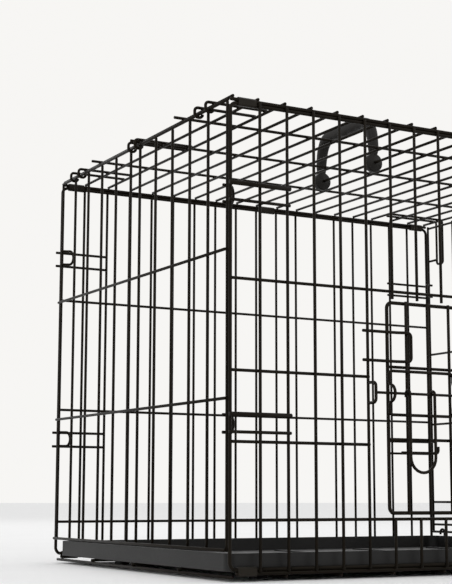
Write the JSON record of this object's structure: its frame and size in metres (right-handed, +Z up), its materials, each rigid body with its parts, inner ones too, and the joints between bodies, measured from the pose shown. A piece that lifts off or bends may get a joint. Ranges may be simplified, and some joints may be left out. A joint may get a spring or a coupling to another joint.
{
  "type": "folding wire pet crate",
  "caption": "Black folding wire crate for a dog or cat, with a front door and an end door, slide bolts, end panels that fold in, a slide-out floor tray and a carry handle on top.",
  "frame": {"origin": "middle of the footprint, on the floor under the feet", "axes": "+X along the length from the plain left end to the right end with the end door, +Y from the front door to the back, +Z up"},
  "size_m": [0.6398, 0.5034, 0.5772],
  "materials": {
    "wire_coat": "black epoxy coat on steel wire, low gloss",
    "clip_coat": "black coat on folded sheet steel",
    "handle_plastic": "moulded black plastic, fine grain",
    "tray_plastic": "vacuum-formed black plastic",
    "foot_plastic": "moulded black plastic"
  },
  "bodies": {
    "crate_shell": {"base_cross_wires": "wire_coat", "base_edge_wires": "wire_coat", "base_long_wires": "wire_coat", "base_hinge_risers": "wire_coat", "floor_feet": "foot_plastic", "base_edge_clips": "clip_coat", "back_frame": "wire_coat", "back_upright_wires": "wire_coat", "back_rails": "wire_coat", "back_corner_bars": "wire_coat", "front_frame": "wire_coat", "front_upright_wires": "wire_coat", "front_doorway_posts": "wire_coat", "front_short_wires": "wire_coat", "front_rails": "wire_coat", "front_corner_bars": "wire_coat", "front_bolt_staple": "wire_coat", "top_cross_wires": "wire_coat", "top_handle_wire": "wire_coat", "top_edge_wires": "wire_coat", "top_long_wires": "wire_coat", "top_hinge_knuckles": "wire_coat", "top_catch_prongs": "wire_coat", "top_edge_clips": "clip_coat"},
    "left_end": {"left_end_pivot_wire": "wire_coat", "left_end_upright_wires": "wire_coat", "left_end_rails": "wire_coat", "left_end_catch_loops": "wire_coat"},
    "right_end": {"right_end_pivot_wire": "wire_coat", "right_end_edge_wires": "wire_coat", "right_end_doorway_posts": "wire_coat", "right_end_short_wires": "wire_coat", "right_end_rails": "wire_coat", "right_end_catch_loops": "wire_coat", "end_bolt_staple": "wire_coat"},
    "front_door": {"front_door_frame": "wire_coat", "front_door_upright_wires": "wire_coat", "front_door_rails": "wire_coat", "front_door_hinge_eyes": "wire_coat", "front_door_stop": "wire_coat", "front_bolt_guide_frame": "wire_coat", "front_handle_keeper": "wire_coat"},
    "front_bolt": {"front_bolt_rod": "wire_coat"},
    "front_bolt_handle": {"front_bolt_handle": "wire_coat"},
    "end_door": {"end_door_frame": "wire_coat", "end_door_upright_wires": "wire_coat", "end_door_rails": "wire_coat", "end_door_hinge_eyes": "wire_coat", "end_door_stop": "wire_coat", "end_bolt_guide_frame": "wire_coat", "end_handle_keeper": "wire_coat"},
    "end_bolt": {"end_bolt_rod": "wire_coat"},
    "end_bolt_handle": {"end_bolt_handle": "wire_coat"},
    "tray": {"floor_tray": "tray_plastic"},
    "carry_handle": {"carry_handle": "handle_plastic"}
  },
  "joints": [
    {"name": "left_end_fold", "type": "hinge", "parent": "crate_shell", "child": "left_end", "pos_m": [-0.31259, 0.00784, 0.5039], "axis": [0, 1, 0], "range_deg": [-80, 0]},
    {"name": "right_end_fold", "type": "hinge", "parent": "crate_shell", "child": "right_end", "pos_m": [0.29901, 0.00784, 0.03429], "axis": [0, 1, 0], "range_deg": [-85, 0]},
    {"name": "front_door_swing", "type": "hinge", "parent": "crate_shell", "child": "front_door", "pos_m": [0.12877, -0.23084, 0.1975], "axis": [0, 0, 1], "range_deg": [0, 160]},
    {"name": "end_door_swing", "type": "hinge", "parent": "right_end", "child": "end_door", "pos_m": [0.29901, 0.17685, 0.17], "axis": [0, 0, 1], "range_deg": [0, 160]},
    {"name": "front_bolt_slide", "type": "slide", "parent": "front_door", "child": "front_bolt", "axis": [1, 0, 0], "range_m": [-0.012, 0]},
    {"name": "front_bolt_turn", "type": "hinge", "parent": "front_bolt", "child": "front_bolt_handle", "pos_m": [-0.14235, -0.24189, 0.1975], "axis": [-1, 0, 0], "range_deg": [0, 150]},
    {"name": "end_bolt_slide", "type": "slide", "parent": "end_door", "child": "end_bolt", "axis": [0, 1, 0], "range_m": [-0.012, 0]},
    {"name": "end_bolt_turn", "type": "hinge", "parent": "end_bolt", "child": "end_bolt_handle", "pos_m": [0.31006, -0.16115, 0.17], "axis": [0, -1, 0], "range_deg": [0, 150]},
    {"name": "tray_slide", "type": "slide", "parent": "crate_shell", "child": "tray", "axis": [-1, 0, 0], "range_m": [0, 0.56]},
    {"name": "carry_handle_flop", "type": "hinge", "parent": "crate_shell", "child": "carry_handle", "pos_m": [-0.00679, 0.00784, 0.5077], "axis": [0, 1, 0], "range_deg": [-75, 75]}
  ]
}
